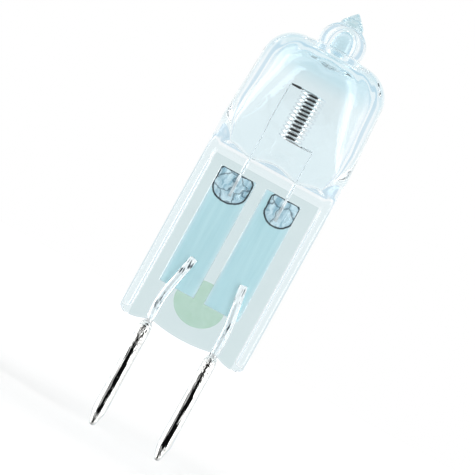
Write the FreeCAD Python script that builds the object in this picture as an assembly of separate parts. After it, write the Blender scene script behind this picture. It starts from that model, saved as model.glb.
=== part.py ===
# Halogen capsule bulb with a two-pin base, in millimetres.
# Z runs up the bulb's axis and X runs through both contact pins.
# The origin is on the axis, level with the lowest glass, where a lamp holder's face would lie.
import FreeCAD, Part
import math
import os

# Press seal: the flat foot of the glass, squeezed between two jaws
seal_width = 12.1
seal_thickness = 2.6
seal_height = 15.9
foot_corner_radius = 0.9
foot_rise_at_leads = 0.58
foot_rise_at_middle = 0.19
rib_radius = 0.42
rib_rise = 0.4
rib_inset = 0.08
rib_foot = 0.65

# Flare: where the jaws' slope opens the seal into the bulb
flare_angle = 35.0
flare_low_round = 2.5
flare_high_round = 6.0

# Bulb: the hollow round glass above the seal
bulb_radius = 6.1
bulb_widest = 19.0
shoulder_radius = 5.73
shoulder_height = 25.5
dome_round = 2.75
wall = 1.0
cavity_floor = 17.2
cavity_floor_radius = 4.6
cavity_floor_thickness = 0.6
cavity_low_round = 0.8
cavity_dome_step = 0.3

# Exhaust tip: the melted end of the filling tube on top of the dome
neck_radius = 2.0
neck_rise = 0.15
bead_radius = 2.14
bead_widest_rise = 0.7
bead_shoulder_radius = 1.82
bead_shoulder_rise = 1.65
waist_radius = 1.03
waist_rise = 2.33
cone_radius = 1.07
cone_rise = 2.6
point_radius = 0.15
point_rise = 3.62
tip_rise = 3.7
tip_bore_radius = 0.95
tip_bore_rise = 1.7

# Filament: one wire wound into a coil, with two legs
wire_diameter = 0.18
coil_diameter = 2.05
coil_pitch = 0.344
coil_turns = 12
coil_bottom = 19.95
leg_spacing = 4.48
leg_end = 13.0
leg_knee = 17.4
leg_channel_clearance = 0.07
leg_funnel_radius = 0.8
leg_funnel_depth = 0.9

# Foils: thin seals pressed into the glass, with an unbonded pocket round each leg's weld
foil_width = 3.35
foil_thickness = 0.03
foil_feather = 0.4
foil_bottom = 3.85
foil_top = 15.1
foil_gap = 1.0
foil_shift = -0.2
pocket_width = {"left": 3.2, "right": 2.7}
pocket_height = {"left": 2.75, "right": 2.55}
pocket_side_height = 1.5
pocket_clearance = 0.03

# Outer leads and contact pins
pin_spacing = 6.35
pin_diameter = 1.25
pin_top = 0.2
pin_length = 10.1
pin_shoulder_diameter = 0.95
pin_shoulder_height = 0.6
pin_taper_height = 1.4
pin_end_diameter = 0.5
pin_end_chamfer = 0.1
pin_bore_depth = 4.0
pin_bore_clearance = 0.01
lead_diameter = 0.75
lead_top = 6.86
lead_bend_height = 2.8
lead_bend_radius = 3.0
lead_lean = {"left": 0.875, "right": 0.605}
lead_channel_clearance = 0.04

# How far cutting shapes reach past the glass that they trim
trim = 1.0
corner_trim = 0.05

SIDES = {"left": -1, "right": 1}
WIRE_SIDES = 6
RUNS_A_TURN = 12
MITRED = 1

seal_half_width = seal_width / 2
seal_half_thickness = seal_thickness / 2
lead_radius = lead_diameter / 2
wire_radius = wire_diameter / 2
coil_radius = coil_diameter / 2
leg_x = leg_spacing / 2
foil_y = lead_radius + foil_thickness / 2
leg_y = foil_y - foil_thickness / 2 - wire_radius
dome_top = shoulder_height + dome_round
neck_z = dome_top + neck_rise


def point(x, y, z):
    return FreeCAD.Vector(x, y, z)


ORIGIN = point(0, 0, 0)
ACROSS = point(1, 0, 0)
THROUGH = point(0, 1, 0)
UP = point(0, 0, 1)


def line(a, b):
    return Part.LineSegment(a, b).toShape()


def arc(a, b, c):
    return Part.Arc(a, b, c).toShape()


def outline(corners):
    """Edges of straight runs through the corners, in order."""
    return [line(a, b) for a, b in zip(corners, corners[1:])]


def bulge(widest, end):
    """Profile arc that starts at the widest point, going along the axis, and ends at the end point."""
    drop = widest.x - end.x
    rise = end.z - widest.z
    radius = (drop**2 + rise**2) / (2 * drop)
    half_angle = math.atan2(rise, radius - drop) / 2
    middle_x = widest.x - radius * (1 - math.cos(half_angle))
    middle_z = widest.z + radius * math.sin(half_angle)
    return arc(widest, point(middle_x, 0, middle_z), end)


def turned(edges, axis_x=0):
    """Solid of revolution about a line along Z, from a profile whose ends lie on that line."""
    start = edges[0].valueAt(edges[0].FirstParameter)
    end = edges[-1].valueAt(edges[-1].LastParameter)
    profile = Part.Wire(Part.sortEdges(edges + [line(end, start)])[0])
    return Part.Face(profile).revolve(point(axis_x, 0, 0), UP, 360)


def bent_path(corners, radius):
    """Straight runs between the corners, with a tangent arc in place of each inner corner."""
    edges = []
    start = corners[0]
    for before, corner, after in zip(corners, corners[1:], corners[2:]):
        arriving = (corner - before).normalize()
        leaving = (after - corner).normalize()
        turn = arriving.getAngle(leaving)
        reach = radius * math.tan(turn / 2)
        inward = (leaving - arriving).normalize()
        middle = corner + inward * (radius / math.cos(turn / 2) - radius)
        end = corner + leaving * reach
        edges += [line(start, corner - arriving * reach), arc(corner - arriving * reach, middle, end)]
        start = end
    return edges + [line(start, corners[-1])]


def round_wire(edges, radius):
    """Round bar along a path that starts upwards."""
    path = Part.Wire(edges)
    section = Part.Wire(Part.makeCircle(radius, path.Vertexes[0].Point, UP))
    return path.makePipeShell([section], True, False)


def jaw_block(half_thickness, start, low_round, high_round, reach, low, high):
    """Block between the two jaws: parallel faces, a rounded slope and faces past the bulb's wall."""
    angle = math.radians(flare_angle)
    sine = math.sin(angle)
    cosine = math.cos(angle)
    slope_start = point(0, half_thickness + low_round * (1 - cosine), start + low_round * sine)
    slope_end_y = reach - high_round * (1 - cosine)
    slope_end = point(0, slope_end_y, slope_start.z + (slope_end_y - slope_start.y) * cosine / sine)
    open_end = point(0, reach, slope_end.z + high_round * sine)
    half_sine = math.sin(angle / 2)
    half_cosine = math.cos(angle / 2)
    low_middle = point(0, half_thickness + low_round * (1 - half_cosine), start + low_round * half_sine)
    high_middle = point(0, reach - high_round * (1 - half_cosine), open_end.z - high_round * half_sine)
    foot = point(0, half_thickness, low)
    face_end = point(0, half_thickness, start)
    side = [
        line(foot, face_end),
        arc(face_end, low_middle, slope_start),
        line(slope_start, slope_end),
        arc(slope_end, high_middle, open_end),
        line(open_end, point(0, reach, high)),
    ]
    far_side = [edge.mirror(ORIGIN, THROUGH) for edge in side]
    ends = [line(point(0, -half_thickness, low), foot), line(point(0, -reach, high), point(0, reach, high))]
    profile = Part.Face(Part.Wire(Part.sortEdges(side + far_side + ends)[0]))
    profile.translate(ACROSS * -reach)
    return profile.extrude(ACROSS * (2 * reach))


def dome_profile():
    """Bulb wall and dome shoulder, from the widest level to the flat top of the dome."""
    widest = point(bulb_radius, 0, bulb_widest)
    shoulder = point(shoulder_radius, 0, shoulder_height)
    top = point(shoulder_radius - dome_round, 0, dome_top)
    return [line(widest, shoulder), bulge(shoulder, top)]


def tip_profile():
    """Beaded and pointed tip, from the top of the dome to the axis, in short slopes."""
    dome_edge = point(shoulder_radius - dome_round, 0, dome_top)
    neck = point(neck_radius, 0, neck_z)
    widest = point(bead_radius, 0, neck_z + bead_widest_rise)
    waist = point(waist_radius, 0, neck_z + waist_rise)
    cone = point(cone_radius, 0, neck_z + cone_rise)
    blunt = point(point_radius, 0, neck_z + point_rise)
    tip = point(0, 0, neck_z + tip_rise)
    shoulder = point(bead_shoulder_radius, 0, neck_z + bead_shoulder_rise)
    return outline([dome_edge, neck, widest, shoulder, waist, cone, blunt, tip])


def seal_rib(side, face):
    """Round bead along one edge of the seal on one face, with a tapered lower end."""
    x = side * (seal_half_width - rib_inset - rib_radius)
    y = face * (seal_half_thickness + rib_rise - rib_radius)
    low = point(x, y, rib_foot + rib_radius)
    bar = Part.makeCylinder(rib_radius, seal_height + flare_low_round - low.z, low)
    return bar.fuse(Part.makeCone(rib_radius / 2, rib_radius, rib_radius, point(x, y, rib_foot)))


def foot_cutter():
    """Everything below the scalloped lower edge of the seal."""
    side = seal_half_width + corner_trim
    corner_x = side - foot_corner_radius
    bend = foot_corner_radius * (1 - math.sqrt(0.5))
    exit_x = pin_spacing / 2
    lobe = bulge_below(corner_x, exit_x)
    exits = [point(s * exit_x, 0, foot_rise_at_leads) for s in (-1, 1)]
    edges = [arc(exits[0], point(0, 0, foot_rise_at_middle), exits[1])]
    for s in (-1, 1):
        corner_end = point(s * corner_x, 0, 0)
        side_point = point(s * side, 0, foot_corner_radius)
        edges.append(arc(point(s * exit_x, 0, foot_rise_at_leads), point(s * lobe.x, 0, lobe.z), corner_end))
        edges.append(arc(corner_end, point(s * (side - bend), 0, bend), side_point))
        outer = point(s * (side + trim), 0, foot_corner_radius)
        edges += outline([side_point, outer, point(outer.x, 0, -2 * trim)])
    edges.append(line(point(-side - trim, 0, -2 * trim), point(side + trim, 0, -2 * trim)))
    face = Part.Face(Part.Wire(Part.sortEdges(edges)[0]))
    depth = seal_half_thickness + rib_rise + trim
    face.translate(THROUGH * -depth)
    return face.extrude(THROUGH * (2 * depth))


def bulge_below(corner_x, exit_x):
    """Middle point of the foot's lobe arc, level at the corner and rising to the lead."""
    run = corner_x - exit_x
    radius = (run**2 + foot_rise_at_leads**2) / (2 * foot_rise_at_leads)
    half_angle = math.atan2(run, radius - foot_rise_at_leads) / 2
    return point(corner_x - radius * math.sin(half_angle), 0, radius * (1 - math.cos(half_angle)))


def foil_centre(side):
    return foil_shift + side * (foil_gap + foil_width) / 2


def foil(side):
    """Flat strip with both long edges etched to a feather edge."""
    x = foil_centre(side)
    half = foil_width / 2
    flat = half - foil_feather
    thick = foil_thickness / 2
    section = [(-half, 0), (-flat, -thick), (flat, -thick), (half, 0), (flat, thick), (-flat, thick)]
    corners = [point(x + dx, foil_y + dy, foil_bottom) for dx, dy in section]
    return Part.Face(Part.makePolygon(corners + corners[:1])).extrude(UP * (foil_top - foil_bottom))


def weld_pocket(name):
    """Thin unbonded space round a leg's weld, with a straight top and a rounded bottom."""
    side = SIDES[name]
    outer_x = foil_centre(side) + side * foil_width / 2
    inner_x = outer_x - side * pocket_width[name]
    front_y = leg_y - wire_radius - pocket_clearance
    back_y = foil_y + foil_thickness / 2 + pocket_clearance
    top = foil_top + pocket_clearance
    side_z = top - pocket_side_height
    outer_corner = point(outer_x, front_y, side_z)
    inner_corner = point(inner_x, front_y, side_z)
    bottom = point((outer_x + inner_x) / 2, front_y, top - pocket_height[name])
    edges = outline([outer_corner, point(outer_x, front_y, top), point(inner_x, front_y, top), inner_corner])
    edges.append(arc(inner_corner, bottom, outer_corner))
    return Part.Face(Part.Wire(edges)).extrude(THROUGH * (back_y - front_y))


def leg_channel(side):
    """Clearance round a leg through the glass, opening in a funnel at the cavity's floor."""
    foot = point(side * leg_x, leg_y, foil_top)
    radius = wire_radius + leg_channel_clearance
    top = leg_knee + 2 * wire_diameter
    channel = Part.makeCylinder(radius, top - foil_top, foot)
    funnel_foot = point(side * leg_x, leg_y, cavity_floor - leg_funnel_depth)
    funnel = Part.makeCone(radius, leg_funnel_radius, top - funnel_foot.z, funnel_foot)
    return channel.fuse(funnel)


def lead_path(name, start_z, end_rise):
    """Route of an outer lead: straight up out of the pin, then leaning in along the foil."""
    side = SIDES[name]
    x = side * pin_spacing / 2
    bend = point(x, 0, lead_bend_height)
    top = point(x - side * lead_lean[name], 0, lead_top)
    top += (top - bend).normalize() * end_rise
    return bent_path([point(x, 0, start_z), bend, top], lead_bend_radius)


def outer_lead(name):
    return round_wire(lead_path(name, pin_top - pin_bore_depth, 0), lead_radius)


def lead_channel(name):
    return round_wire(lead_path(name, -trim, lead_channel_clearance), lead_radius + lead_channel_clearance)


def contact_pin(side):
    """Plated pin with a blind bore for the lead, a sloped shoulder and a tapered, chamfered end."""
    x = side * pin_spacing / 2
    bottom = pin_top - pin_length
    bore = lead_radius + pin_bore_clearance
    profile = [
        (0, pin_top - pin_bore_depth),
        (bore, pin_top - pin_bore_depth),
        (bore, pin_top),
        (pin_shoulder_diameter / 2, pin_top),
        (pin_diameter / 2, pin_top - pin_shoulder_height),
        (pin_diameter / 2, bottom + pin_taper_height),
        (pin_end_diameter / 2, bottom + pin_end_chamfer),
        (pin_end_diameter / 2 - pin_end_chamfer, bottom),
        (0, bottom),
    ]
    return turned(outline([point(x + r, 0, z) for r, z in profile]), x)


def leg_corners(side, coil_level):
    """Route of a leg, from its weld up past the knee to the level where it turns in to the coil."""
    weld = point(side * leg_x, leg_y, leg_end)
    knee = point(side * leg_x, leg_y, leg_knee)
    top = point(side * leg_x, coil_radius, coil_level)
    return [weld, knee, top]


def coil_corners():
    """Right-handed coil on the axis, in short straight runs from the back of its first turn to its last."""
    corners = []
    for step in range(coil_turns * RUNS_A_TURN + 1):
        turn = step / RUNS_A_TURN
        angle = 2 * math.pi * turn + math.pi / 2
        level = coil_bottom + coil_pitch * turn
        corners.append(point(coil_radius * math.cos(angle), coil_radius * math.sin(angle), level))
    return corners


def filament():
    """One wire: up the right leg, round the coil and down the left leg; both legs join at the coil's back."""
    coil_top = coil_bottom + coil_turns * coil_pitch
    route = leg_corners(1, coil_bottom) + coil_corners() + leg_corners(-1, coil_top)[::-1]
    spokes = [2 * math.pi * n / WIRE_SIDES for n in range(WIRE_SIDES)]
    ring = [route[0] + point(math.sin(a), math.cos(a), 0) * wire_radius for a in spokes]
    section = Part.makePolygon(ring + ring[:1])
    return Part.makePolygon(route).makePipeShell([section], True, False, MITRED)


def glass_blank():
    """Outside of the glass: a domed tube with its tip, squeezed flat below, with ribs and a shaped foot."""
    foot = point(seal_half_width, 0, -trim)
    seal_end = point(seal_half_width, 0, seal_height)
    widest = point(bulb_radius, 0, bulb_widest)
    tube = turned(outline([point(0, 0, -trim), foot, seal_end, widest]) + dome_profile() + tip_profile())
    jaws = jaw_block(
        seal_half_thickness,
        seal_height,
        flare_low_round,
        flare_high_round,
        bulb_radius + corner_trim,
        -2 * trim,
        neck_z + tip_rise + trim,
    )
    ribs = [seal_rib(side, face) for side in (-1, 1) for face in (-1, 1)]
    return tube.common(jaws).fuse(ribs).cut(foot_cutter())


def glass_hollow():
    """Inside of the bulb: a wedge-shaped floor, the round wall, the dome and the bore of the exhaust tip."""
    inner_round = dome_round - wall
    inner_shoulder = shoulder_radius - wall
    inner_top = dome_top - wall
    bore_top = neck_z + tip_bore_rise
    profile = [
        (0, cavity_floor),
        (cavity_floor_radius, cavity_floor),
        (bulb_radius - wall, bulb_widest),
        (inner_shoulder, shoulder_height),
        (inner_shoulder - inner_round * cavity_dome_step, inner_top - inner_round * cavity_dome_step),
        (inner_shoulder - inner_round, inner_top),
        (tip_bore_radius, inner_top),
        (tip_bore_radius, bore_top - tip_bore_radius),
        (0, bore_top),
    ]
    tube = turned(outline([point(r, 0, z) for r, z in profile]))
    jaws = jaw_block(
        cavity_floor_thickness / 2,
        cavity_floor,
        cavity_low_round,
        flare_high_round - wall,
        bulb_radius - wall + corner_trim,
        cavity_floor - trim,
        bore_top + trim,
    )
    return tube.common(jaws)


def envelope():
    """Quartz glass, hollow and pressed round the metal parts."""
    glass = glass_blank().cut(glass_hollow())
    for name, side in SIDES.items():
        for cutter in (leg_channel(side), weld_pocket(name), lead_channel(name), foil(side)):
            glass = glass.cut(cutter)
    return glass


pieces = {"envelope": envelope(), "filament": filament()}
for name, side in SIDES.items():
    pieces["foil_" + name] = foil(side)
    pieces["outer_lead_" + name] = outer_lead(name)
    pieces["contact_pin_" + name] = contact_pin(side)

os.makedirs("parts", exist_ok=True)
for node, shape in pieces.items():
    shape.exportStep("parts/" + node + ".step")
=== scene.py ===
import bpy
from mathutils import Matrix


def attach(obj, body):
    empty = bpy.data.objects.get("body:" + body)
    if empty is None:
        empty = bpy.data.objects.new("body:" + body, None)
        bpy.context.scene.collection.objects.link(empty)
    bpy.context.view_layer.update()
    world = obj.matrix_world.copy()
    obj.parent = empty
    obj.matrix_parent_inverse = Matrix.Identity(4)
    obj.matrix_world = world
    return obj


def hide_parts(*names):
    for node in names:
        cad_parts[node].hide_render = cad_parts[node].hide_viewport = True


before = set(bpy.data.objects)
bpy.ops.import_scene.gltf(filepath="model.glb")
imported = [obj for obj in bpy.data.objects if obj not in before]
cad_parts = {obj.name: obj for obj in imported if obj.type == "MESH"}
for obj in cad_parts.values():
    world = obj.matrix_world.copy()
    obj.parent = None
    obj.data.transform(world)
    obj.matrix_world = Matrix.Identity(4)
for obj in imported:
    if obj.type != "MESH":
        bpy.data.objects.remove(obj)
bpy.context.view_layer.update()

# Filament
# One drawn tungsten wire, wound hot into an upright single coil, with a straight leg bent down from each end.
# The legs stand in the glass below and are welded to the front of the foils.
import math

import bpy
import numpy as np

MILLIMETRE = 0.001
wire_diameter = 0.23
run_diameter = 0.22
leg_diameter = 0.11
wire_sides = 12
wire_bend = 0.15
coil_radius = 1.025
coil_pitch = 0.344
coil_turns = 12
coil_steps = 40
coil_bottom = 19.95
coil_top = coil_bottom + coil_turns * coil_pitch
run_end = 0.2
run_start = 1.4
leg_x = 2.24
leg_y = 0.285
leg_end = 13.0
leg_knee = 17.4
weld_top = 15.3
weld_ease = 0.4
weld_width = 0.28
# Distances from the axis between which the wire thins from the coil to the runs, and at the bend to the legs
coil_reach = 1.05 * coil_radius
run_reach = 1.6 * coil_radius
bend_reach = 1.08 * leg_x
coil_die_line = 0.25
leg_die_line = 0.1
run_die_line = 0.2


def linear(hex_colour):
    """An sRGB hex colour as the linear RGBA that a shader takes."""
    channels = [int(hex_colour[i : i + 2], 16) / 255 for i in (1, 3, 5)]
    return [c / 12.92 if c <= 0.04045 else ((c + 0.055) / 1.055) ** 2.4 for c in channels] + [1.0]


def add_node(tree, kind, inputs=None, **settings):
    """Adds a node with its settings; inputs give a socket a value or link it to another node's output."""
    node = tree.nodes.new(kind)
    for name, value in settings.items():
        setattr(node, name, value)
    for socket, value in (inputs or {}).items():
        if isinstance(value, bpy.types.NodeSocket):
            tree.links.new(value, node.inputs[socket])
        else:
            node.inputs[socket].default_value = value
    return node


def new_material(name):
    """An empty material, with its node tree and the socket that takes its surface shader."""
    material = bpy.data.materials.new(name)
    material.use_nodes = True
    material.node_tree.nodes.clear()
    output = add_node(material.node_tree, "ShaderNodeOutputMaterial")
    return material, material.node_tree, output.inputs["Surface"]


def mottled(tree, place, size, first, second, detail=2.0):
    """A grain of a real size in millimetres, as its level and as two hex colours mixed by it."""
    grain = add_node(
        tree, "ShaderNodeTexNoise", {"Vector": place, "Scale": 1 / (size * MILLIMETRE), "Detail": detail}
    ).outputs["Fac"]
    colours = {"Fac": grain, "Color1": linear(first), "Color2": linear(second)}
    return grain, add_node(tree, "ShaderNodeMixRGB", colours).outputs["Color"]


def new_piece(name, points, faces, materials, replaced):
    """A smooth mesh piece from points in millimetres, which rides on the lamp and stands for CAD nodes."""
    mesh = bpy.data.meshes.new(name)
    mesh.from_pydata((np.asarray(points) * MILLIMETRE).tolist(), [], [list(f) for f in faces])
    mesh.shade_smooth()
    for material in materials:
        mesh.materials.append(material)
    piece = bpy.data.objects.new(name, mesh)
    bpy.context.scene.collection.objects.link(piece)
    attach(piece, "root")
    if replaced:
        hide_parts(*replaced)
    return piece


def face_centres(piece):
    """Middle of each face of a piece, in millimetres."""
    return np.array([face.center for face in piece.data.polygons]) / MILLIMETRE


def eased(corners, reach, steps=8):
    """A route through the corners, with each inner corner eased over a length of reach on both sides."""
    corners = [np.array(c, float) for c in corners]
    route = [corners[0]]
    for before, corner, after in zip(corners, corners[1:], corners[2:]):
        start = corner + (before - corner) / np.linalg.norm(before - corner) * reach
        end = corner + (after - corner) / np.linalg.norm(after - corner) * reach
        for t in np.linspace(0, 1, steps):
            route.append((1 - t) ** 2 * start + 2 * t * (1 - t) * corner + t**2 * end)
    return route + [corners[-1]]


def loft_faces(rows, sides, strip=False):
    """Quads between rings of points and a face over each end, or a strip of quads over the first end."""
    low = np.arange(rows - 1)[:, None] * sides + np.arange(sides)
    after = np.arange(rows - 1)[:, None] * sides + (np.arange(sides) + 1) % sides
    quads = np.stack([low, after, after + sides, low + sides], axis=-1).reshape(-1, 4).tolist()
    start = [list(range(sides))[::-1]]
    if strip:
        start = [[sides - 1 - k, sides - 2 - k, k + 1, k] for k in range(sides // 2 - 1)]
    return quads + start + [list(range((rows - 1) * sides, rows * sides))]


def round_bar(route, radii, sides):
    """Points and faces of a round bar along a route, with closed ends and a radius for each point."""
    route = np.array(route, float)
    along = np.gradient(route, axis=0)
    along /= np.linalg.norm(along, axis=1)[:, None]
    aside = (0.3, 1, 0.2)
    across = np.cross(along[0], aside)
    turn = 2 * math.pi * np.arange(sides) / sides
    points = []
    for place, direction, radius in zip(route, along, radii):
        across = across - direction * (across @ direction)
        across /= np.linalg.norm(across)
        upright = np.cross(direction, across)
        ring = np.outer(np.cos(turn), across) + np.outer(np.sin(turn), upright)
        points.append(place + radius * ring)
    return np.concatenate(points), loft_faces(len(route), sides)


# Drawn tungsten: bright where turn mirrors turn, with a painted black reflection down the side facing the
# eye.
# Its fine die lines, like those of the other wires below, are drawn coarser than real ones so that they show.
tungsten, tree, surface = new_material("drawn_tungsten")
place = add_node(tree, "ShaderNodeTexCoord").outputs["Object"]
die_lines, shade = mottled(tree, place, coil_die_line, "#ECEDED", "#FAFAFA", detail=4)
normal = add_node(tree, "ShaderNodeNewGeometry").outputs["Normal"]
flat = add_node(tree, "ShaderNodeVectorMath", {0: normal, 1: (1, 1, 0)}, operation="MULTIPLY")
level = add_node(
    tree, "ShaderNodeVectorMath", {0: flat.outputs["Vector"]}, operation="NORMALIZE"
).outputs["Vector"]
facing = add_node(tree, "ShaderNodeLayerWeight", {"Blend": 0.5, "Normal": level}).outputs["Facing"]
band = add_node(
    tree,
    "ShaderNodeMapRange",
    {"Value": facing, "From Min": 0.04, "From Max": 0.12, "To Min": 1.0, "To Max": 0.0},
).outputs["Result"]
tilt = add_node(tree, "ShaderNodeSeparateXYZ", {"Vector": normal}).outputs["Z"]
tilt = add_node(tree, "ShaderNodeMath", {0: tilt}, operation="ABSOLUTE").outputs["Value"]
crown = add_node(
    tree,
    "ShaderNodeMapRange",
    {"Value": tilt, "From Min": 0.75, "From Max": 0.92, "To Min": 1.0, "To Max": 0.0},
).outputs["Result"]
outward = add_node(tree, "ShaderNodeVectorMath", {0: level, 1: place}, operation="DOT_PRODUCT")
outward = add_node(tree, "ShaderNodeMath", {0: outward.outputs["Value"], 1: 0.0}, operation="GREATER_THAN")
# Painted reflection: the outward side of each turn that faces the eye is mixed to black, for the mirrored
# lens side.
dark = add_node(tree, "ShaderNodeMath", {0: band, 1: crown}, operation="MULTIPLY").outputs["Value"]
dark = add_node(tree, "ShaderNodeMath", {0: dark, 1: outward.outputs["Value"]}, operation="MULTIPLY")
shade = add_node(
    tree,
    "ShaderNodeMixRGB",
    {"Fac": dark.outputs["Value"], "Color1": shade, "Color2": linear("#141517")},
)
gloss = add_node(tree, "ShaderNodeMapRange", {"Value": die_lines, "To Min": 0.01, "To Max": 0.05})
shader = add_node(
    tree,
    "ShaderNodeBsdfPrincipled",
    {"Base Color": shade.outputs["Color"], "Metallic": 1.0, "Roughness": gloss.outputs["Result"]},
)
tree.links.new(shader.outputs["BSDF"], surface)

# Bright tungsten: the legs and the lower run, which stay cool and keep the pale polish of the cleaned wire.
# So fine a wire shows as a soft pale line, and it is drawn only partly metallic for that.
bright_tungsten, tree, surface = new_material("bright_tungsten")
place = add_node(tree, "ShaderNodeTexCoord").outputs["Object"]
stretched = add_node(tree, "ShaderNodeMapping", {"Vector": place, "Scale": (1, 1, 0.1)}).outputs["Vector"]
_, shade = mottled(tree, stretched, leg_die_line, "#C9D2D6", "#F4F7F8")
shader = add_node(
    tree, "ShaderNodeBsdfPrincipled", {"Base Color": shade, "Metallic": 0.4, "Roughness": 0.25}
)
tree.links.new(shader.outputs["BSDF"], surface)

# Grey tungsten: the upper run from the coil to its leg, the same wire drawn dull and dark as painted shade.
shaded_tungsten, tree, surface = new_material("shaded_tungsten")
place = add_node(tree, "ShaderNodeTexCoord").outputs["Object"]
_, shade = mottled(tree, place, run_die_line, "#2A2B2D", "#55575A")
shader = add_node(
    tree, "ShaderNodeBsdfPrincipled", {"Base Color": shade, "Metallic": 1.0, "Roughness": 0.2}
)
tree.links.new(shader.outputs["BSDF"], surface)


def leg_corners(side, run_z):
    """Corners of the wire on one side of the lamp, from the leg's weld up to the run and in to the coil."""
    return [
        (side * leg_x, leg_y, leg_end),
        (side * leg_x, leg_y, weld_top - weld_ease),
        (side * leg_x, leg_y, weld_top),
        (side * leg_x, leg_y, leg_knee),
        (side * leg_x, coil_radius, run_z),
        (side * run_start, coil_radius, run_z),
        (side * run_end, coil_radius, run_z),
    ]


rising = eased(leg_corners(1, coil_bottom), wire_bend)
falling = eased(leg_corners(-1, coil_top)[::-1], wire_bend)
turn = np.arange(coil_turns * coil_steps + 1) / coil_steps
angle = 2 * math.pi * turn + math.pi / 2
coil = [coil_radius * np.cos(angle), coil_radius * np.sin(angle), coil_bottom + coil_pitch * turn]
wire_route = np.array(rising + list(np.stack(coil, axis=1)) + falling)
from_axis = np.hypot(wire_route[:, 0], wire_route[:, 1])
reaches = [0, coil_reach, run_reach, leg_x, bend_reach]
diameters = [wire_diameter, wire_diameter, run_diameter, run_diameter, leg_diameter]
radii = np.interp(from_axis, reaches, diameters) / 2
radii[np.abs(wire_route[:, 1]) < (leg_y + coil_radius) / 2] = leg_diameter / 2
radii[len(rising) : -len(falling)] = wire_diameter / 2
points, faces = round_bar(wire_route, radii, wire_sides)
flattened = 1 + (weld_width / leg_diameter - 1) * np.clip((weld_top - points[:, 2]) / weld_ease, 0, 1)
middle = np.sign(points[:, 0]) * leg_x
points[:, 0] = middle + (points[:, 0] - middle) * flattened
filament = new_piece(
    "tungsten_filament",
    points,
    faces,
    [tungsten, shaded_tungsten, bright_tungsten],
    ["filament"],
)
centre = face_centres(filament)
wire_kind = np.digitize(np.abs(centre[:, 0]), [coil_radius + wire_diameter, leg_x - leg_diameter])
wire_kind[(wire_kind == 1) & (centre[:, 2] < coil_bottom + coil_pitch)] = 2
filament.data.polygons.foreach_set("material_index", wire_kind)

# Foils
# Two strips of thin molybdenum foil, etched to a feather edge on both long sides so that glass grips them.
# A leg is welded to the top of each and an outer lead to the bottom, and glass is pressed on to both faces.
SIDES = {"left": -1, "right": 1}
foil_width = 3.35
foil_thickness = 0.03
foil_feather = 0.4
feather_edge = 0.08
foil_bottom = 3.85
foil_top = 15.1
foil_y = 0.39
foil_middle = {"left": -2.375, "right": 1.975}
foil_columns = 81
foil_rows = 251
pocket_width = {"left": 3.2, "right": 2.7}
pocket_height = {"left": 2.75, "right": 2.55}
pocket_side_height = 1.5
pocket_corner = 0.25
pocket_fill = 0.985
# Crests round the pocket's outline, their phase, and their height as a share of its size
pocket_waves = ((3, 1, 0.012), (8, 2, 0.01))
pocket_marks = 400
rim_width = 0.15
rolling_line = 0.3
crumple_sway = 0.7
crumple_shift = 0.9
crumple_size = 1.5
streak_line = 0.4
rim_grain = 0.3


def line_lengths(points):
    """Length along a line of points, from its start to each of them."""
    return np.concatenate([[0], np.cumsum(np.linalg.norm(np.diff(points, axis=0), axis=1))])


def pocket_outline(name, count):
    """Outline of the unbonded patch round a leg's weld: straight top, upright sides, rounded bottom."""
    outer = foil_middle[name] + SIDES[name] * foil_width / 2
    inner = outer - SIDES[name] * pocket_width[name]
    middle, half = (outer + inner) / 2, pocket_width[name] / 2
    side_z = foil_top - pocket_side_height
    drop = pocket_height[name] - pocket_side_height
    bowl = [(middle + half * math.cos(a), side_z - drop * math.sin(a)) for a in np.linspace(0, math.pi, 40)]
    loop = bowl + [(middle - half, foil_top - pocket_corner), (middle - half + pocket_corner, foil_top)]
    loop += [(middle + half - pocket_corner, foil_top), (middle + half, foil_top - pocket_corner), bowl[0]]
    loop = np.array(loop)
    length = line_lengths(loop)
    even = np.linspace(0, length[-1], count, endpoint=False)
    x, z = np.interp(even, length, loop[:, 0]), np.interp(even, length, loop[:, 1])
    sway = 2 * math.pi * even / length[-1]
    waves = [size * np.sin(crests * sway + phase * outer) for crests, phase, size in pocket_waves]
    swell = pocket_fill + sum(waves)
    return np.stack([middle + (x - middle) * swell, side_z + (z - side_z) * swell], axis=1)


# Molybdenum foil under glass: a pale blue-grey satin sheet with faint rolling lines, wide enough to show.
# It fades where the etch thins it. The bonded face scatters light as paint does, so it is not drawn metallic.
bonded_foil, tree, surface = new_material("bonded_molybdenum_foil")
place = add_node(tree, "ShaderNodeTexCoord").outputs["Object"]
stretched = add_node(tree, "ShaderNodeMapping", {"Vector": place, "Scale": (1, 1, 0.06)}).outputs["Vector"]
rolling, shade = mottled(tree, stretched, rolling_line, "#A7CCD2", "#C3DEE1")
foils_middle = (foil_middle["left"] + foil_middle["right"]) / 2 * MILLIMETRE
foils_apart = (foil_middle["right"] - foil_middle["left"]) / 2 * MILLIMETRE
aside = add_node(tree, "ShaderNodeSeparateXYZ", {"Vector": place}).outputs["X"]
for shift in (foils_middle, foils_apart):
    aside = add_node(tree, "ShaderNodeMath", {0: aside, 1: shift}, operation="SUBTRACT").outputs["Value"]
    aside = add_node(tree, "ShaderNodeMath", {0: aside}, operation="ABSOLUTE").outputs["Value"]
etched = add_node(
    tree,
    "ShaderNodeMapRange",
    {
        "Value": aside,
        "From Min": (foil_width / 2 - foil_feather) * MILLIMETRE,
        "From Max": foil_width / 2 * MILLIMETRE,
        "To Max": 0.6,
    },
    interpolation_type="SMOOTHSTEP",
)
shade = add_node(
    tree,
    "ShaderNodeMixRGB",
    {"Fac": etched.outputs["Result"], "Color1": shade, "Color2": linear("#D0DEE1")},
)
gloss = add_node(tree, "ShaderNodeMapRange", {"Value": rolling, "To Min": 0.35, "To Max": 0.55})
shader = add_node(
    tree,
    "ShaderNodeBsdfPrincipled",
    {"Base Color": shade.outputs["Color"], "Roughness": gloss.outputs["Result"]},
)
tree.links.new(shader.outputs["BSDF"], surface)
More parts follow.
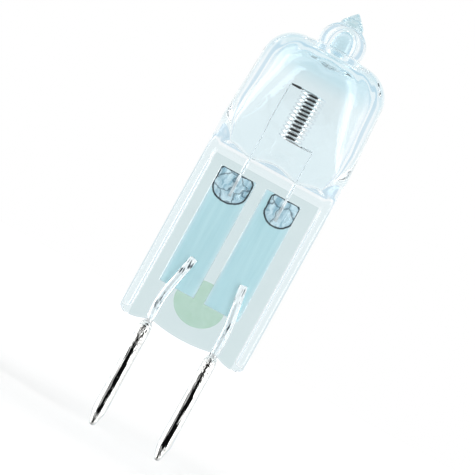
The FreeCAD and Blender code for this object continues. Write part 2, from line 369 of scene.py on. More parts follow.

# Loose foil in its pocket: the same metal a little bluer, streaked along the weld, with painted shade in
# creases.
loose_foil, tree, surface = new_material("crumpled_molybdenum_foil")
place = add_node(tree, "ShaderNodeTexCoord").outputs["Object"]
sway = add_node(
    tree, "ShaderNodeTexNoise", {"Vector": place, "Scale": 1 / (crumple_sway * MILLIMETRE), "Detail": 3}
)
bent = add_node(
    tree,
    "ShaderNodeMixRGB",
    {"Fac": crumple_shift * MILLIMETRE, "Color1": place, "Color2": sway.outputs["Color"]},
    blend_type="ADD",
).outputs["Color"]
crumple = add_node(
    tree,
    "ShaderNodeTexVoronoi",
    {"Vector": bent, "Scale": 1 / (crumple_size * MILLIMETRE)},
    feature="DISTANCE_TO_EDGE",
).outputs["Distance"]
# Painted shade: dark lines along the crumple's cell edges, for the shade that falls in its creases.
crease_shade = add_node(
    tree,
    "ShaderNodeMapRange",
    {"Value": crumple, "From Min": 0.01, "From Max": 0.06, "To Min": 0.75, "To Max": 0.0},
)
stretched = add_node(tree, "ShaderNodeMapping", {"Vector": bent, "Scale": (1, 1, 0.25)}).outputs["Vector"]
streak_grain = add_node(
    tree, "ShaderNodeTexNoise", {"Vector": stretched, "Scale": 1 / (streak_line * MILLIMETRE), "Detail": 3}
).outputs["Fac"]
streaks = add_node(tree, "ShaderNodeMapRange", {"Value": streak_grain, "From Min": 0.35, "From Max": 0.62})
shade = add_node(
    tree,
    "ShaderNodeMixRGB",
    {"Fac": streaks.outputs["Result"], "Color1": linear("#8DB2C1"), "Color2": linear("#D4E6EC")},
).outputs["Color"]
shaded_creases = add_node(
    tree,
    "ShaderNodeMixRGB",
    {"Fac": crease_shade.outputs["Result"], "Color1": shade, "Color2": linear("#2E4858")},
).outputs["Color"]
shader = add_node(tree, "ShaderNodeBsdfPrincipled", {"Base Color": shaded_creases, "Roughness": 0.4})
tree.links.new(shader.outputs["BSDF"], surface)

# Rim of the pocket: where the glass lets go of the foil, a thin wedge of gap that looks almost black.
pocket_rim, tree, surface = new_material("pocket_rim_shadow")
place = add_node(tree, "ShaderNodeTexCoord").outputs["Object"]
_, shade = mottled(tree, place, rim_grain, "#0C151C", "#33454F")
shader = add_node(tree, "ShaderNodeBsdfPrincipled", {"Base Color": shade, "Roughness": 0.6})
tree.links.new(shader.outputs["BSDF"], surface)


def sheet_faces(columns, rows):
    """Faces of a closed sheet whose points are a front grid and then a back grid of rows and columns."""
    corner = (np.arange(rows - 1)[:, None] * columns + np.arange(columns - 1)).ravel()
    front = np.stack([corner, corner + 1, corner + columns + 1, corner + columns], axis=1)
    total = rows * columns
    back = front[:, ::-1] + total
    rim = list(range(columns)) + [r * columns + columns - 1 for r in range(1, rows)]
    rim += [total - 1 - c for c in range(1, columns)] + [r * columns for r in range(rows - 2, 0, -1)]
    sides = [(b, a, a + total, b + total) for a, b in zip(rim, rim[1:] + rim[:1])]
    return front.tolist() + back.tolist() + sides


def inside(outline, x, z):
    """Which of the points lie inside a closed outline."""
    found = np.zeros(x.shape, bool)
    for a, b in zip(outline, np.roll(outline, -1, axis=0)):
        crosses = (a[1] > z) != (b[1] > z)
        reach = (b[0] - a[0]) * (z - a[1]) / (b[1] - a[1] + 1e-12) + a[0]
        found ^= crosses & (x < reach)
    return found


def away_from(outline, x, z):
    """Distance of each point from the nearest mark of an outline."""
    nearest = np.full(x.shape, np.inf)
    for mark in outline:
        nearest = np.minimum(nearest, np.hypot(x - mark[0], z - mark[1]))
    return nearest


for name, middle in foil_middle.items():
    across = np.linspace(-1, 1, foil_columns) * foil_width / 2
    up = np.linspace(foil_bottom, foil_top, foil_rows)
    x, z = np.meshgrid(middle + across, up)
    edge = np.clip((foil_width / 2 - np.abs(x - middle)) / foil_feather, feather_edge, 1)
    half = edge * foil_thickness / 2
    front = np.stack([x, foil_y - half, z], axis=-1).reshape(-1, 3)
    back = np.stack([x, foil_y + half, z], axis=-1).reshape(-1, 3)
    piece = new_piece(
        "molybdenum_foil_" + name,
        np.concatenate([front, back]),
        sheet_faces(foil_columns, foil_rows),
        [bonded_foil, loose_foil, pocket_rim],
        ["foil_" + name],
    )
    outline = pocket_outline(name, pocket_marks)
    x, _, z = face_centres(piece).T
    foil_kind = inside(outline, x, z).astype(int)
    foil_kind[away_from(outline, x, z) < rim_width / 2] = 2
    piece.data.polygons.foreach_set("material_index", foil_kind)

# Outer leads
# A round molybdenum wire on each side, welded to the foil's foot and bent to leave the glass over its pin.
# The glass shrinks away from it on cooling, so it stands in a channel a little wider than itself.
lead_diameter = 0.75
lead_sides = 40
lead_foot = -3.8
lead_bend = 2.8
lead_bend_reach = 0.9
lead_bend_steps = 14
lead_top = 6.86
# Distances back from the lead's top, and the share of its radius there
lead_tip = {0.1: 1.0, 0.03: 0.95, 0.0: 0.8}
lead_lean = {"left": 0.875, "right": 0.605}
lead_clearance = 0.04
pin_x = 3.175
lead_die_line = 0.12
oxide_patch = 0.9

# Drawn molybdenum: a pale satin grey with long drawing lines and dark streaks of oxide left by the weld.
# The lines are drawn coarser than real ones so that they show through the glass. The glass also softens the
# shine, and the wire is drawn only partly metallic for that.
molybdenum, tree, surface = new_material("drawn_molybdenum")
place = add_node(tree, "ShaderNodeTexCoord").outputs["Object"]
stretched = add_node(tree, "ShaderNodeMapping", {"Vector": place, "Scale": (1, 1, 0.05)}).outputs["Vector"]
drawing, shade = mottled(tree, stretched, lead_die_line, "#DDE2E4", "#FBFDFD")
patches = add_node(
    tree, "ShaderNodeTexNoise", {"Vector": place, "Scale": 1 / (oxide_patch * MILLIMETRE), "Detail": 2}
).outputs["Fac"]
oxide = add_node(tree, "ShaderNodeMath", {0: drawing, 1: patches}, operation="MULTIPLY").outputs["Value"]
streaks = add_node(tree, "ShaderNodeMapRange", {"Value": oxide, "From Min": 0.31, "From Max": 0.36})
shade = add_node(
    tree,
    "ShaderNodeMixRGB",
    {"Fac": streaks.outputs["Result"], "Color1": shade, "Color2": linear("#33414A")},
).outputs["Color"]
shader = add_node(
    tree, "ShaderNodeBsdfPrincipled", {"Base Color": shade, "Metallic": 0.3, "Roughness": 0.25}
)
tree.links.new(shader.outputs["BSDF"], surface)


def lead_route(name, start, extra):
    """Route of a lead from a starting height to its top, or past it by extra."""
    side = SIDES[name]
    bend = np.array([side * pin_x, 0, lead_bend])
    top = np.array([side * (pin_x - lead_lean[name]), 0, lead_top])
    top = top + (top - bend) / np.linalg.norm(top - bend) * extra
    return eased([(side * pin_x, 0, start), bend, top], lead_bend_reach, lead_bend_steps)


for name in SIDES:
    *route, end = lead_route(name, lead_foot, 0)
    ahead = (end - route[-1]) / np.linalg.norm(end - route[-1])
    shares = [1.0] * len(route) + list(lead_tip.values())
    route += [end - ahead * back for back in lead_tip]
    points, faces = round_bar(route, np.array(shares) * lead_diameter / 2, lead_sides)
    new_piece(
        "outer_lead_wire_" + name, points, faces, [molybdenum], ["outer_lead_" + name]
    )

# Glass envelope
# One tube of clear fused quartz, closed in a dome and melted off at its exhaust tube in a beaded point.
# Its soft lower end was pressed flat between jaws round the foils, with a rib at each edge of both faces.
outer_sides = 208
outer_spacing = 0.12
outer_melt = 0.12
seal_half_width = 6.05
seal_half_thickness = 1.3
seal_top = 15.9
press_level = 15.6
seal_levels = list(np.arange(0.5, 1.5, 0.07)) + list(np.arange(1.5, press_level, 0.42))
foot_edge = 0.4
foot_shares = np.linspace(0.02, 1, 7)[:-1]
foot_reach = 6.1
foot_step = 0.005
foot_soft = 0.11
foot_soft_end = 4.6
foot_rise = 0.19
foot_dip = 0.39
foot_fade = 3.0
lobe_x = 5.2
lobe_radius = 3.825
corner_radius = 0.9
edge_blend = 0.25
rib_x = 5.55
rib_radius = 0.42
rib_centre = 1.28
rib_foot = 0.65
rib_blend = 0.45
rib_fade = 0.9
rib_fade_start = 14.0
rib_fade_end = 17.5
rib_end = 17.6
flare_angle = math.radians(35)
flare_low_round = 2.5
flare_blend = 2.6
flare_blend_rate = 0.8
dome_centre = (2.98, 25.5)
dome_radius = 2.75
dome_foot = (dome_centre[0] + dome_radius, dome_centre[1])
bulb_side = [(seal_half_width, press_level), (6.06, 17.0), (6.1, 19.0), dome_foot]
tip_neck = (2.0, 28.4)
bead_centre = (0.24, 29.0)
bead_radius = 1.9
bead_angles = (-18, 66)
tip_outline = [(1.03, 30.73), (1.07, 31.0), (0.15, 32.02), (0.0, 32.1)]
least_radius = 0.004
inner_sides = 144
inner_spacing = 0.15
inner_melt = 0.4
wall = 1.0
cavity_floor = 17.2
cavity_floor_half = 0.3
cavity_low_round = 0.8
floor_strip_half = 0.26
floor_strip_ends = 6
floor_strip_shares = (0.03, 0.3, 0.6, 0.85)
floor_sag = 0.35
floor_swell = 0.65
floor_fade = 1.6
hollow_side = [(4.45, cavity_floor), (4.62, 17.6), (5.1, 19.2), (dome_foot[0] - wall, dome_foot[1])]
hollow_blend = 2.2
hollow_edge_blend = 0.1
hollow_blend_rate = 0.55
bore_radius = 0.95
bore_end = 29.2
ripple_level = 26.6
ripple_spread = 0.45
# Crests round the dome's inside, their phase, and their height as a share of its radius
ripple_waves = ((9, 0, 0.008), (17, 1, 0.006))
foil_clearance = 0.02
space_columns = 41
space_rows = 131
space_marks = 300
pocket_depth = 0.19
pocket_slope = 0.8
leg_channel_sides = 32
leg_channel_radii = [0.12] + 6 * [0.16] + [0.14]
leg_channel_bottom = foil_top + 0.06
leg_channel_top = cavity_floor - 0.42
lead_channel_sides = 48
lead_channel_foot = 0.64
lead_channel_end = 0.8


def soft_min(a, b, width):
    """The smaller of two values, blended smoothly where they come within width of each other."""
    near = np.clip(width - np.abs(a - b), 0, None)
    return np.minimum(a, b) - near**2 / (4 * width)


def smooth_step(share):
    """A share held between 0 and 1, with both ends eased."""
    share = np.clip(share, 0, 1)
    return share**2 * (3 - 2 * share)


def jaw_opening(z, start, half, low_round):
    """Half thickness left by the jaws at each height: parallel, then a rounded start and a straight slope."""
    slope_z = start + low_round * math.sin(flare_angle)
    slope_y = half + low_round * (1 - math.cos(flare_angle))
    rise = np.clip(z - start, 0, slope_z - start)
    low = half + low_round - np.sqrt(low_round**2 - rise**2)
    return np.where(z < slope_z, low, slope_y + (z - slope_z) * math.tan(flare_angle))


def arc_points(centre, radius, start, end, count):
    """Points of a profile arc, from one angle to another in degrees."""
    angles = np.radians(np.linspace(start, end, count))
    return [(centre[0] + radius * math.cos(a), centre[1] + radius * math.sin(a)) for a in angles]


def bell(steps, reach):
    """Weights that soften a row of values over a number of steps, out to a reach on both sides."""
    weights = np.exp(-((np.arange(-reach, reach + 1) / steps) ** 2) / 2)
    return weights / weights.sum()


def melted(profile, spacing, spread):
    """A profile of radius and height at an even spacing, with its corners melted over a length of spread."""
    steps = 8
    reach = 3 * steps
    profile = np.array(profile, float)
    length = line_lengths(profile)
    fine = np.arange(0, length[-1], spread / steps)
    walked = np.stack([np.interp(fine, length, profile[:, k]) for k in (0, 1)], axis=1)
    before = 2 * walked[0] - walked[reach:0:-1]
    beyond = 2 * walked[-1] - walked[-2 : -reach - 2 : -1]
    padded = np.concatenate([before, walked, beyond])
    soft = [np.convolve(padded[:, k], bell(steps, reach), "valid") for k in (0, 1)]
    even = np.linspace(0, fine[-1], max(2, int(length[-1] / spacing)))
    return np.stack([np.interp(even, fine, column) for column in soft], axis=1)


def foot_height(x):
    """Height of the seal's scalloped lower edge: a dip at each lead, a lobe outside it and round corners."""
    grid = np.linspace(0, foot_reach, round(foot_reach / foot_step) + 1)
    middle = foot_rise + foot_dip * (grid / pin_x) ** 2
    lobe = lobe_radius - np.sqrt(np.clip(lobe_radius**2 - (lobe_x - grid) ** 2, 0, None))
    corner = corner_radius - np.sqrt(np.clip(corner_radius**2 - (grid - lobe_x) ** 2, 0, None))
    height = np.where(grid < pin_x, middle, np.where(grid < lobe_x, lobe, corner))
    reach = 60
    padded = np.concatenate([height[reach:0:-1], height, [height[-1]] * reach])
    soft = np.convolve(padded, bell(foot_soft / foot_step, reach), "valid")
    return np.interp(np.abs(x), grid, np.where(grid > foot_soft_end, height, soft))


def rib_height(x, z):
    """Distance of a rib's surface from the seal's middle plane, or zero away from the ribs."""
    below = np.clip(rib_foot + rib_radius - z, 0, None)
    away = np.hypot(np.abs(x) - rib_x, below)
    sunk = rib_fade * np.clip((z - rib_fade_start) / (rib_fade_end - rib_fade_start), 0, 1) ** 2
    crown = rib_centre + np.sqrt(np.clip(rib_radius**2 - away**2, 0, None)) - sunk
    return np.where(away < rib_radius, crown, 0)


def outer_glass():
    """The outside of the glass as points, ring by ring from foot to tip, and the number of rings."""
    turn = 2 * math.pi * (np.arange(outer_sides) + 0.5) / outer_sides
    flat_half = seal_half_thickness - foot_edge
    rings = [(seal_half_width, share * flat_half, 0.0, share) for share in foot_shares]
    for a in np.radians(np.linspace(-90, 0, 9)):
        half = flat_half + foot_edge * math.cos(a)
        rings.append((seal_half_width, half, foot_edge * (1 + math.sin(a)), 1))
    rings += [(seal_half_width, seal_half_thickness, z, 1) for z in seal_levels]
    dome = arc_points(dome_centre, dome_radius, 0, 90, 40)
    bead = arc_points(bead_centre, bead_radius, *bead_angles, 40)
    outline = bulb_side + dome[1:] + [tip_neck] + bead + tip_outline
    profile = melted(outline, outer_spacing, outer_melt)
    rings += [(max(radius, least_radius), None, z, 1) for radius, z in profile]
    points = []
    for radius, half, level, share in rings:
        x = radius * np.cos(turn)
        round_y = np.abs(radius * np.sin(turn))
        z = np.full(outer_sides, level)
        if half is None:
            opening = jaw_opening(z, seal_top, seal_half_thickness, flare_low_round)
            blend = min(flare_blend, edge_blend + flare_blend_rate * max(0.0, level - press_level))
            y = soft_min(round_y, opening, blend)
        else:
            y = soft_min(round_y * share, half, edge_blend * share)
            z = level + foot_height(x) * (1 - smooth_step(level / foot_fade))
        if level < rib_end and share == 1:
            y = -soft_min(-y, -rib_height(x, z), rib_blend)
        points.append(np.stack([x, np.sign(np.sin(turn)) * y, z], axis=1))
    return np.concatenate(points), len(rings)


def floor_height(x):
    """Height of the cavity's floor, which sags where each leg passes through it."""
    return cavity_floor - floor_sag + floor_swell * (1 + np.cos(math.pi * np.abs(x) / leg_x)) / 2


def inner_glass():
    """The hollow as points, ring by ring from its narrow floor to the bore's end, and the number of rings."""
    turn = 2 * math.pi * (np.arange(inner_sides) + 0.5) / inner_sides
    face = np.sign(np.sin(turn))
    dome = arc_points(dome_centre, dome_radius - wall, 0, 90, 30)
    bore = [(bore_radius, dome_centre[1] + dome_radius - wall), (bore_radius, bore_end)]
    bore += arc_points((0, bore_end), bore_radius, 0, 88, 20)
    profile = melted(hollow_side + dome[1:] + bore, inner_spacing, inner_melt)
    points = []
    for share in floor_strip_shares:
        x = profile[0][0] * np.cos(turn)
        y = share * floor_strip_half * face * np.clip(np.abs(np.sin(turn)) * floor_strip_ends, 0, 1)
        points.append(np.stack([x, y, floor_height(x)], axis=1))
    ripple = sum(size * np.sin(waves * turn + phase) for waves, phase, size in ripple_waves)
    for radius, level in profile:
        near_ripple = math.exp(-(((level - ripple_level) / ripple_spread) ** 2))
        radius = max(radius, least_radius) * (1 + ripple * near_ripple)
        x = radius * np.cos(turn)
        opening = jaw_opening(np.full(inner_sides, level), cavity_floor, cavity_floor_half, cavity_low_round)
        blend = min(hollow_blend, hollow_edge_blend + hollow_blend_rate * max(0.0, level - cavity_floor))
        y = np.maximum(soft_min(np.abs(radius * np.sin(turn)), opening, blend), 0.0)
        lift = (floor_height(x) - cavity_floor) * np.clip(1 - (level - cavity_floor) / floor_fade, 0, 1)
        points.append(np.stack([x, face * y, level + lift], axis=1))
    return np.concatenate(points), len(points)


def foil_space(name):
    """Thin space round a foil, deeper in front of it round the leg's weld, as points and closed faces."""
    middle = foil_middle[name]
    half_width = foil_width / 2 + foil_clearance
    half_depth = foil_thickness / 2 + foil_clearance
    up = np.linspace(foil_bottom - foil_clearance, foil_top + foil_clearance, space_rows)
    x, z = np.meshgrid(middle + np.linspace(-1, 1, space_columns) * half_width, up)
    outline = pocket_outline(name, space_marks)
    away = away_from(outline, x, z) * np.where(inside(outline, x, z), 1, -1)
    edge = np.minimum(half_width - np.abs(x - middle), foil_top + foil_clearance - z)
    depth = half_depth + pocket_depth * smooth_step(away / pocket_slope) * np.clip(edge / pocket_slope, 0, 1)
    front = np.stack([x, foil_y - depth, z], axis=-1).reshape(-1, 3)
    back = np.stack([x, np.full(x.shape, foil_y + half_depth), z], axis=-1).reshape(-1, 3)
    return np.concatenate([front, back]), sheet_faces(space_columns, space_rows)


points, rows = outer_glass()
glass_points = [points]
glass_faces = loft_faces(rows, outer_sides, strip=True)
outer_count = len(glass_faces)


def add_space(points, faces):
    """Adds the surface of an air space to the glass, facing into the space."""
    first = sum(len(p) for p in glass_points)
    glass_points.append(points)
    glass_faces.extend([first + k for k in reversed(face)] for face in faces)


points, rows = inner_glass()
add_space(points, loft_faces(rows, inner_sides, strip=True))
for name, side in SIDES.items():
    add_space(*foil_space(name))
    up = np.linspace(leg_channel_bottom, leg_channel_top, len(leg_channel_radii))
    add_space(*round_bar([(side * leg_x, leg_y, z) for z in up], leg_channel_radii, leg_channel_sides))
    route = lead_route(name, lead_channel_foot, lead_clearance)
    radius = lead_diameter / 2 + lead_clearance
    radii = [radius] * (len(route) - 1) + [radius * lead_channel_end]
    points, faces = round_bar(route, radii, lead_channel_sides)
    points[:, 1] = np.minimum(points[:, 1], foil_y - foil_thickness / 2 - 2 * foil_clearance)
    add_space(points, faces)

quartz_ior = 1.458
draw_wave = 2.2
jaw_mark = 1.6
melt_swirl = 0.9
cool_levels = (24.5, 27.5)
point_levels = (30.4, 31.0)


def quartz_shader(tree, colour, relief, strength, depth):
    """Clear quartz of a colour, with a slight relief of a depth in millimetres in its surface."""
    waves = add_node(
        tree, "ShaderNodeBump", {"Height": relief, "Strength": strength, "Distance": depth * MILLIMETRE}
    )
    return add_node(
        tree,
        "ShaderNodeBsdfPrincipled",
        {
            "Base Color": colour,
            "Roughness": 0.0,
            "IOR": quartz_ior,
            "Transmission Weight": 1.0,
            "Normal": waves.outputs["Normal"],
        },
    ).outputs["BSDF"]


# Fused quartz: water-clear, fire-polished and glossy, with the faintest cool tint where the glass is thick.
quartz, tree, surface = new_material("fused_quartz")
place = add_node(tree, "ShaderNodeTexCoord").outputs["Object"]
level = add_node(tree, "ShaderNodeSeparateXYZ", {"Vector": place}).outputs["Z"]
thick = add_node(
    tree,
    "ShaderNodeMapRange",
    {"Value": level, "From Min": cool_levels[0] * MILLIMETRE, "From Max": cool_levels[1] * MILLIMETRE},
)
cool = add_node(
    tree,
    "ShaderNodeMixRGB",
    {"Fac": thick.outputs["Result"], "Color1": linear("#F8FDFF"), "Color2": linear("#E0F2F8")},
).outputs["Color"]
draw_lines = add_node(
    tree, "ShaderNodeTexNoise", {"Vector": place, "Scale": 1 / (draw_wave * MILLIMETRE), "Detail": 2}
).outputs["Fac"]
tree.links.new(quartz_shader(tree, cool, draw_lines, strength=0.25, depth=0.02), surface)

# Pressed quartz: the same glass where the steel jaws touched it, a little greyed and not quite even.
# Only the back face has it, so that a look through the seal is greyed once.
pressed, tree, surface = new_material("pressed_quartz")
place = add_node(tree, "ShaderNodeTexCoord").outputs["Object"]
jaw_marks, shade = mottled(tree, place, jaw_mark, "#CCDCDE", "#DAE7E8", detail=4)
tree.links.new(quartz_shader(tree, shade, jaw_marks, strength=0.3, depth=0.02), surface)

# Melted quartz: the burnt-off tip, where the glass is thickest and its cool tint shows most.
melt, tree, surface = new_material("melted_quartz")
place = add_node(tree, "ShaderNodeTexCoord").outputs["Object"]
swirls, bead = mottled(tree, place, melt_swirl, "#ECF6FA", "#F8FCFE")
level = add_node(tree, "ShaderNodeSeparateXYZ", {"Vector": place}).outputs["Z"]
point = add_node(
    tree,
    "ShaderNodeMapRange",
    {"Value": level, "From Min": point_levels[0] * MILLIMETRE, "From Max": point_levels[1] * MILLIMETRE},
)
shade = add_node(
    tree,
    "ShaderNodeMixRGB",
    {"Fac": point.outputs["Result"], "Color1": bead, "Color2": linear("#C3DEE4")},
).outputs["Color"]
tree.links.new(quartz_shader(tree, shade, swirls, strength=0.4, depth=0.03), surface)

tip_start = 28.3
pressed_depth = 1.0
pressed_half_width = rib_x - rib_radius - 0.05
glass = new_piece(
    "quartz_envelope",
    np.concatenate(glass_points),
    glass_faces,
    [quartz, pressed, melt],
    ["envelope"],
)
x, y, z = face_centres(glass).T
on_back = (y > pressed_depth) & (np.abs(x) < pressed_half_width) & (z < seal_top)
in_tip = (np.arange(len(z)) < outer_count) & (z > tip_start)
glass.data.polygons.foreach_set("material_index", on_back + 2 * in_tip)

# Ink field
# A plain oval of pale green ink, low on the back of the seal, which shows through the clear glass.
# It was stamped on and fired, so it is thin, matt and slightly uneven.
ink_half_width = 2.3
ink_half_height = 2.05
ink_level = 3.65
ink_front = 0.004
ink_back = 0.036
ink_shares = (0.02, 0.6, 0.985)
ink_sides = 72
ink_mottle = 0.5

# Fired ink: a flat pale green, mottled where the stamp left less, and thin enough to let light through.
ink, tree, surface = new_material("fired_green_ink")
place = add_node(tree, "ShaderNodeTexCoord").outputs["Object"]
_, shade = mottled(tree, place, ink_mottle, "#D2EAD3", "#E0F2E4", detail=3)
shader = add_node(
    tree,
    "ShaderNodeBsdfPrincipled",
    {"Base Color": shade, "Roughness": 0.25, "IOR": 1.05, "Transmission Weight": 1.0},
)
tree.links.new(shader.outputs["BSDF"], surface)
ink_section = [(ink_back, share) for share in ink_shares] + [((ink_front + ink_back) / 2, 1.0)]
ink_section += [(ink_front, share) for share in ink_shares[::-1]]
turn = 2 * math.pi * np.arange(ink_sides) / ink_sides
ink_rings = []
for depth, share in ink_section:
    x = ink_half_width * share * np.cos(turn)
    z = ink_level + ink_half_height * share * np.sin(turn)
    ink_rings.append(np.stack([x, np.full(ink_sides, seal_half_thickness + depth), z], axis=1))
new_piece(
    "ink_field", np.concatenate(ink_rings), loft_faces(len(ink_rings), ink_sides), [ink], []
)

# Contact pins
# A nickel-plated pin pressed on to each lead below the glass, with a sloped shoulder and a tapered end.
# It is the part that the lamp holder's sprung contacts grip.
pin_profile = [
    (0.0, 0.2),
    (0.37, 0.2),
    (0.45, 0.19),
    (0.475, 0.16),
    (0.55, -0.12),
    (0.61, -0.32),
    (0.625, -0.42),
    (0.625, -8.4),
    (0.61, -8.55),
    (0.3, -9.7),
    (0.24, -9.83),
    (0.14, -9.89),
    (0.0, -9.9),
]
pin_sides = 64
pin_spacing = 0.08
pin_melt = 0.03
pin_die_line = 0.12
pin_dent = 0.3
pin_scuff = 0.8
pressed_from = -3.6
pressed_to = -1.2

# Nickel plate: bright silver with long drawing marks along the pin, made coarser than real ones to show.
# It is hammered near the glass, where the pin was pressed on.
nickel, tree, surface = new_material("nickel_plate")
place = add_node(tree, "ShaderNodeTexCoord").outputs["Object"]
stretched = add_node(tree, "ShaderNodeMapping", {"Vector": place, "Scale": (1, 1, 0.05)}).outputs["Vector"]
drawing = add_node(
    tree, "ShaderNodeTexNoise", {"Vector": stretched, "Scale": 1 / (pin_die_line * MILLIMETRE), "Detail": 2}
).outputs["Fac"]
dents = add_node(
    tree, "ShaderNodeTexNoise", {"Vector": place, "Scale": 1 / (pin_dent * MILLIMETRE), "Detail": 3}
).outputs["Fac"]
height = add_node(tree, "ShaderNodeSeparateXYZ", {"Vector": place}).outputs["Z"]
pressed_on = add_node(
    tree,
    "ShaderNodeMapRange",
    {
        "Value": height,
        "From Min": pressed_from * MILLIMETRE,
        "From Max": pressed_to * MILLIMETRE,
        "To Max": 3.0,
    },
).outputs["Result"]
hammered = add_node(
    tree, "ShaderNodeMath", {0: dents, 1: pressed_on, 2: drawing}, operation="MULTIPLY_ADD"
).outputs["Value"]
scuffs, shade = mottled(tree, place, pin_scuff, "#F1F1EF", "#FBFBF9", detail=6)
gloss = add_node(tree, "ShaderNodeMapRange", {"Value": scuffs, "To Min": 0.04, "To Max": 0.12})
marks = add_node(
    tree, "ShaderNodeBump", {"Height": hammered, "Strength": 1.0, "Distance": 0.05 * MILLIMETRE}
)
shader = add_node(
    tree,
    "ShaderNodeBsdfPrincipled",
    {
        "Base Color": shade,
        "Metallic": 1.0,
        "Roughness": gloss.outputs["Result"],
        "Normal": marks.outputs["Normal"],
    },
)
tree.links.new(shader.outputs["BSDF"], surface)
turn = 2 * math.pi * np.arange(pin_sides) / pin_sides
for name, side in SIDES.items():
    rings = []
    for radius, z in melted(pin_profile, pin_spacing, pin_melt)[::-1]:
        radius = max(radius, least_radius)
        x = side * pin_x + radius * np.cos(turn)
        rings.append(np.stack([x, radius * np.sin(turn), np.full(pin_sides, z)], axis=1))
    new_piece(
        "nickel_pin_" + name,
        np.concatenate(rings),
        loft_faces(len(rings), pin_sides),
        [nickel],
        ["contact_pin_" + name],
    )

# Stage
# A plain white table under the pin ends, in a white light tent with a tall soft box on each side.
# Both soft boxes are long strips, which leave the white bands in the glass.
from mathutils import Matrix, Vector

floor_level = -9.9
floor_reach = 400.0
open_floor = 20.0
far_floor = 160.0
far_glow = 0.4
paint_grain = 3.0
disc_sides = 96
tent_light = 0.8
horizon = -0.03
low_edge = -0.3
low_level = 0.2
box_width = 180.0
box_height = 800.0
box_power = 1.2
soft_boxes = {"left": (-450, -20, 105), "right": (360, -260, 105)}

# Table paint: an even matt white with a faint roller grain. Far off it glows for the lens, to stay white.
floor_paint, tree, surface = new_material("white_table_paint")
place = add_node(tree, "ShaderNodeTexCoord").outputs["Object"]
_, shade = mottled(tree, place, paint_grain, "#FBFBFB", "#FDFDFD")
off_centre = add_node(tree, "ShaderNodeVectorMath", {0: place}, operation="LENGTH").outputs["Value"]
far = add_node(
    tree,
    "ShaderNodeMapRange",
    {
        "Value": off_centre,
        "From Min": open_floor * MILLIMETRE,
        "From Max": far_floor * MILLIMETRE,
        "To Max": far_glow,
    },
).outputs["Result"]
to_lens = add_node(tree, "ShaderNodeLightPath").outputs["Is Camera Ray"]
glow = add_node(tree, "ShaderNodeMath", {0: far, 1: to_lens}, operation="MULTIPLY").outputs["Value"]
shader = add_node(
    tree,
    "ShaderNodeBsdfPrincipled",
    {
        "Base Color": shade,
        "Roughness": 0.9,
        "Specular IOR Level": 0.0,
        "Emission Color": linear("#FFFFFF"),
        "Emission Strength": glow,
    },
)
tree.links.new(shader.outputs["BSDF"], surface)


def new_disc(name, radius, offset, material):
    """A flat round sheet of the stage, in millimetres."""
    turn = 2 * math.pi * np.arange(disc_sides) / disc_sides
    rim = np.stack([np.cos(turn), np.sin(turn), 0 * turn], axis=1)
    mesh = bpy.data.meshes.new(name)
    mesh.from_pydata(((rim * radius + offset) * MILLIMETRE).tolist(), [], [list(range(disc_sides))])
    mesh.materials.append(material)
    disc = bpy.data.objects.new(name, mesh)
    bpy.context.scene.collection.objects.link(disc)
    return disc


table = new_disc("table", floor_reach, (0, 0, floor_level), floor_paint)
table.visible_glossy = False
table.visible_transmission = False

# Light tent: even and white, also in and through glass. Metal mirrors a greyer table below the horizon.
world = bpy.data.worlds.new("light_tent")
bpy.context.scene.world = world
world.use_nodes = True
tree = world.node_tree
tree.nodes.clear()
path = add_node(tree, "ShaderNodeLightPath").outputs
shown = path["Is Camera Ray"]
for ray in ("Is Glossy Ray", "Is Transmission Ray"):
    shown = add_node(tree, "ShaderNodeMath", {0: shown, 1: path[ray]}, operation="MAXIMUM").outputs["Value"]
strength = add_node(tree, "ShaderNodeMapRange", {"Value": shown, "To Min": tent_light, "To Max": 1.0})
direction = add_node(tree, "ShaderNodeTexCoord").outputs["Generated"]
split = add_node(tree, "ShaderNodeSeparateXYZ", {"Vector": direction}).outputs
sideways = add_node(tree, "ShaderNodeMath", {0: split["X"]}, operation="ABSOLUTE").outputs["Value"]
low = add_node(tree, "ShaderNodeMapRange", {"Value": sideways, "To Min": low_level, "To Max": 1.0})
below = add_node(
    tree,
    "ShaderNodeMapRange",
    {
        "Value": split["Z"],
        "From Min": low_edge,
        "From Max": horizon,
        "To Min": low.outputs["Result"],
        "To Max": 1.0,
    },
).outputs["Result"]
mirrored = add_node(
    tree,
    "ShaderNodeMath",
    {0: path["Is Glossy Ray"], 1: path["Is Transmission Ray"]},
    operation="SUBTRACT",
    use_clamp=True,
).outputs["Value"]
dimmed = add_node(tree, "ShaderNodeMapRange", {"Value": mirrored, "To Min": 1.0, "To Max": below})
level = add_node(
    tree,
    "ShaderNodeMath",
    {0: strength.outputs["Result"], 1: dimmed.outputs["Result"]},
    operation="MULTIPLY",
).outputs["Value"]
tent = add_node(tree, "ShaderNodeBackground", {"Color": linear("#FFFFFF"), "Strength": level})
add_node(tree, "ShaderNodeOutputWorld", {"Surface": tent.outputs["Background"]})

for name, place in soft_boxes.items():
    lamp = bpy.data.lights.new("soft_box_" + name, "AREA")
    lamp.shape = "RECTANGLE"
    lamp.size = box_width * MILLIMETRE
    lamp.size_y = box_height * MILLIMETRE
    lamp.energy = box_power
    box = bpy.data.objects.new("soft_box_" + name, lamp)
    bpy.context.scene.collection.objects.link(box)
    box.location = Vector(place) * MILLIMETRE
    inward = Vector((-place[0], -place[1], 0))
    box.rotation_euler = inward.to_track_quat("-Z", "Y").to_euler()
    box.visible_camera = False

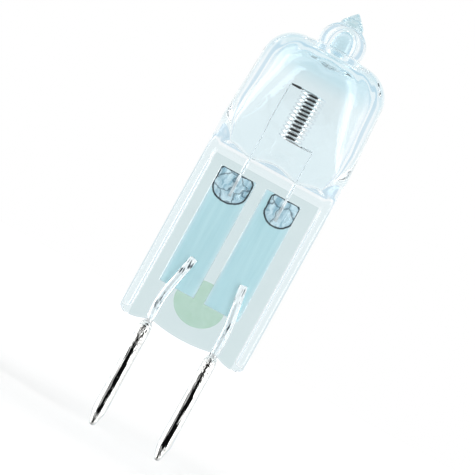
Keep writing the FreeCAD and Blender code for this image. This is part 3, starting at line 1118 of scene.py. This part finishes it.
# Camera
# It looks square on to the face of the seal from a little way off, and is rolled so that the lamp leans over.
# A dark card round the lens and a pale backdrop sheet, fixed to it, give glass and bright metal their lines.
camera_lean = math.radians(28.8)
camera_distance = 300.0
picture_width = 40.8
aim = (0.097, 0.0, 10.249)
card_reach = 340.0
card_back = 8.0
card_fibre = 2.0
sheet_away = 500.0
sheet_middle = 62.0
sheet_edge = 115.0
sheet_reach = 220.0
sheet_fade = 1.25
lens = bpy.data.cameras.new("camera")
lens.sensor_width = 36.0
lens.lens = lens.sensor_width * camera_distance / picture_width
lens.clip_start = 0.01
lens.clip_end = 20.0
camera = bpy.data.objects.new("camera", lens)
bpy.context.scene.collection.objects.link(camera)
sine, cosine = math.sin(camera_lean), math.cos(camera_lean)
camera.matrix_world = Matrix(
    (
        (cosine, -sine, 0, aim[0] * MILLIMETRE),
        (0, 0, -1, (aim[1] - camera_distance) * MILLIMETRE),
        (sine, cosine, 0, aim[2] * MILLIMETRE),
        (0, 0, 0, 1),
    )
)
bpy.context.scene.camera = camera
bpy.context.scene.view_settings.view_transform = "Standard"
# Light is caught many times over inside solid glass before it leaves it
bpy.context.scene.cycles.max_bounces = 40
bpy.context.scene.cycles.glossy_bounces = 24
bpy.context.scene.cycles.transmission_bounces = 40
bpy.context.scene.cycles.blur_glossy = 0.0

# Black card: matt and fibrous, for metal and glass to mirror. Rays from a matt surface, or straight through
# one to three faces of glass, find it white, so that it takes no light from them.
card_black, tree, surface = new_material("black_card")
place = add_node(tree, "ShaderNodeTexCoord").outputs["Object"]
_, shade = mottled(tree, place, card_fibre, "#080808", "#0E0E0E")
path = add_node(tree, "ShaderNodeLightPath").outputs
spread = add_node(tree, "ShaderNodeMath", {0: path["Diffuse Depth"], 1: 0.5}, operation="GREATER_THAN")
through = add_node(
    tree, "ShaderNodeMath", {0: path["Transmission Depth"], 1: 2.0, 2: 1.5}, operation="COMPARE"
)
hidden = add_node(
    tree,
    "ShaderNodeMath",
    {0: spread.outputs["Value"], 1: through.outputs["Value"]},
    operation="MAXIMUM",
)
shade = add_node(
    tree,
    "ShaderNodeMixRGB",
    {"Fac": hidden.outputs["Value"], "Color1": shade, "Color2": linear("#FFFFFF")},
).outputs["Color"]
shader = add_node(tree, "ShaderNodeEmission", {"Color": shade, "Strength": 1.0})
tree.links.new(shader.outputs["Emission"], surface)
card = new_disc("lens_card", card_reach, (0, 0, card_back), card_black)
card.parent = camera
card.visible_diffuse = False
card.visible_shadow = False

# Backdrop sheet: pale grey in the middle, white round it and faintly cool at its rim, seen through the glass.
sheet, tree, surface = new_material("backdrop_sheet")
place = add_node(tree, "ShaderNodeTexCoord").outputs["Object"]
off_centre = add_node(tree, "ShaderNodeVectorMath", {0: place}, operation="LENGTH").outputs["Value"]
diffuse_depth = add_node(tree, "ShaderNodeLightPath").outputs["Diffuse Depth"]
spread = add_node(tree, "ShaderNodeMath", {0: diffuse_depth, 1: 0.5}, operation="GREATER_THAN")
shade = linear("#F0F7F8")
for start, colour in ((sheet_middle, "#FFFFFF"), (sheet_edge, "#D0E3EE")):
    beyond = add_node(
        tree,
        "ShaderNodeMapRange",
        {"Value": off_centre, "From Min": start * MILLIMETRE, "From Max": sheet_fade * start * MILLIMETRE},
    )
    shade = add_node(
        tree,
        "ShaderNodeMixRGB",
        {"Fac": beyond.outputs["Result"], "Color1": shade, "Color2": linear(colour)},
    ).outputs["Color"]
shade = add_node(
    tree,
    "ShaderNodeMixRGB",
    {"Fac": spread.outputs["Value"], "Color1": shade, "Color2": linear("#FFFFFF")},
).outputs["Color"]
shader = add_node(tree, "ShaderNodeEmission", {"Color": shade, "Strength": 1.0})
tree.links.new(shader.outputs["Emission"], surface)
backdrop = new_disc("backdrop", sheet_reach, (0, 0, 0), sheet)
backdrop.parent = camera
backdrop.location = (0, 0, -sheet_away * MILLIMETRE)
backdrop.visible_camera = False
backdrop.visible_diffuse = False
backdrop.visible_shadow = False
